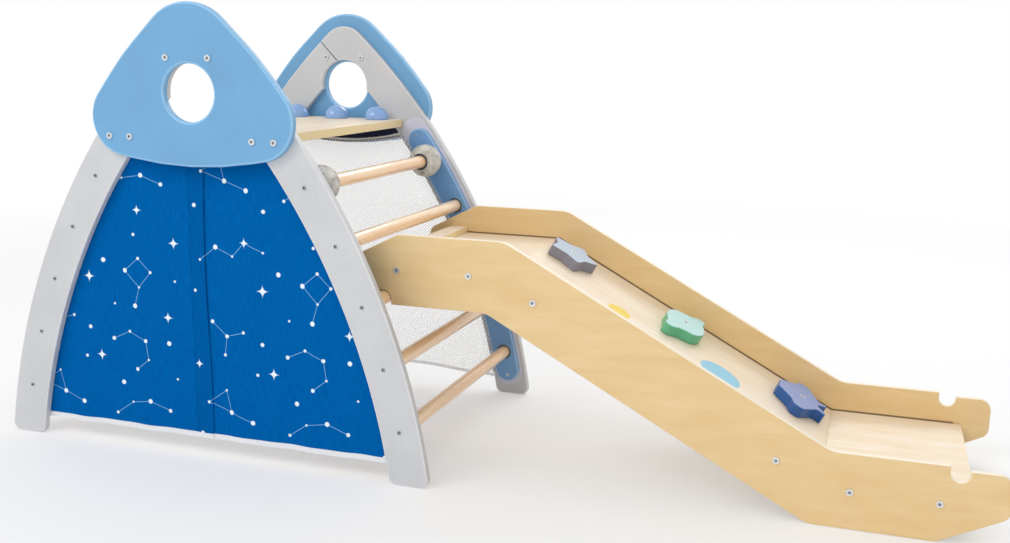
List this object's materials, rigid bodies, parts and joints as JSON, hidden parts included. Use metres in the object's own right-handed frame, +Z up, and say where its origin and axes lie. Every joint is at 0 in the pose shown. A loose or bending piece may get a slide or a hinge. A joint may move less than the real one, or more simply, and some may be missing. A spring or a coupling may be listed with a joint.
{
  "type": "toddler climbing gym",
  "caption": "Rocket-shaped wooden toddler climbing gym: arched frames with ladder rungs, deck, curtain and mesh den, and a reversible hook-on ramp with climbing holds.",
  "frame": {"origin": "on the floor, in the middle of the whole gym's box", "axes": "+X from the arch down the ramp, +Z up, the curtain on the -Y side and the mesh on the +Y side"},
  "size_m": [2.2066, 0.762, 0.9998],
  "materials": {
    "nose_paint": "satin sky blue paint",
    "leg_paint": "satin light grey paint",
    "rail_paint": "satin blue paint",
    "band_plate": "pale smooth sheet",
    "beech": "clear lacquered beech",
    "moon_stone": "matt speckled grey paint",
    "knob_lacquer": "gloss periwinkle lacquer",
    "curtain_cloth": "woven deep blue cloth with a printed star field",
    "hem_cloth": "white woven tape",
    "mesh_cloth": "white open mesh",
    "birch_ply": "clear lacquered birch plywood",
    "pale_birch": "clear lacquered pale birch",
    "star_paint": "satin grey blue paint",
    "cloud_paint": "satin mint paint",
    "shuttle_paint": "satin blue paint",
    "steel": "zinc plated"
  },
  "bodies": {
    "frame": {"front_nose_panel": "nose_paint", "rear_nose_panel": "nose_paint", "front_left_leg": "leg_paint", "front_right_leg": "leg_paint", "rear_left_leg": "leg_paint", "rear_right_leg": "leg_paint", "front_left_rail": "rail_paint", "front_right_rail": "rail_paint", "rear_left_rail": "rail_paint", "rear_right_rail": "rail_paint", "front_left_band": "band_plate", "front_right_band": "band_plate", "rear_left_band": "band_plate", "rear_right_band": "band_plate", "left_rung_1": "beech", "left_rung_2": "beech", "left_rung_3": "beech", "left_rung_4": "beech", "left_rung_5": "beech", "right_rung_1": "beech", "right_rung_2": "beech", "right_rung_3": "beech", "right_rung_4": "beech", "right_rung_5": "beech", "left_curtain_side": "curtain_cloth", "right_curtain_side": "curtain_cloth", "mesh_hem": "hem_cloth", "mesh_panel": "mesh_cloth", "deck": "pale_birch", "nose_bolts": "steel", "leg_insert_nuts": "steel", "deck_barrel_nuts": "steel", "rung_screws": "steel", "rail_screws": "steel", "knob_screws": "steel"},
    "ramp": {"ramp_front_side": "birch_ply", "ramp_rear_side": "birch_ply", "upper_landing": "pale_birch", "slope_board": "pale_birch", "lower_landing": "pale_birch", "upper_batten": "pale_birch", "lower_batten": "pale_birch", "star_hold": "star_paint", "cloud_hold": "cloud_paint", "shuttle_hold": "shuttle_paint", "ramp_bolts": "steel", "ramp_barrel_nuts": "steel", "hold_bolts": "steel", "hold_tee_nuts": "steel"},
    "left_knob": {"left_knob": "knob_lacquer"},
    "middle_knob": {"middle_knob": "knob_lacquer"},
    "right_knob": {"right_knob": "knob_lacquer"},
    "front_moon": {"front_moon_ball": "moon_stone"},
    "rear_moon": {"rear_moon_ball": "moon_stone"},
    "left_flap": {"left_curtain_flap": "curtain_cloth", "left_curtain_hem": "hem_cloth"},
    "right_flap": {"right_curtain_flap": "curtain_cloth", "right_curtain_hem": "hem_cloth"}
  },
  "joints": [
    {"name": "ramp_pivot", "type": "hinge", "parent": "frame", "child": "ramp", "pos_m": [-0.17796, 0, 0.38042], "axis": [0, -1, 0], "range_deg": [0, 20]},
    {"name": "left_knob_turn", "type": "hinge", "parent": "frame", "child": "left_knob", "pos_m": [-0.68461, 0.297, 0.72588], "axis": [0, 0, 1], "continuous": true},
    {"name": "middle_knob_turn", "type": "hinge", "parent": "frame", "child": "middle_knob", "pos_m": [-0.56663, 0.297, 0.72588], "axis": [0, 0, 1], "continuous": true},
    {"name": "right_knob_turn", "type": "hinge", "parent": "frame", "child": "right_knob", "pos_m": [-0.44864, 0.297, 0.72588], "axis": [0, 0, 1], "continuous": true},
    {"name": "front_moon_spin", "type": "hinge", "parent": "frame", "child": "front_moon", "pos_m": [-0.3068, -0.2897, 0.62387], "axis": [0, 1, 0], "continuous": true},
    {"name": "rear_moon_spin", "type": "hinge", "parent": "frame", "child": "rear_moon", "pos_m": [-0.3068, 0.2897, 0.62387], "axis": [0, 1, 0], "continuous": true},
    {"name": "left_flap_swing", "type": "hinge", "parent": "frame", "child": "left_flap", "pos_m": [-0.56713, -0.3406, 0.66387], "axis": [-0.5662, 0, -0.8243], "range_deg": [-80, 80]},
    {"name": "right_flap_swing", "type": "hinge", "parent": "frame", "child": "right_flap", "pos_m": [-0.56613, -0.3406, 0.66387], "axis": [-0.5662, 0, 0.8243], "range_deg": [-80, 80]}
  ]
}
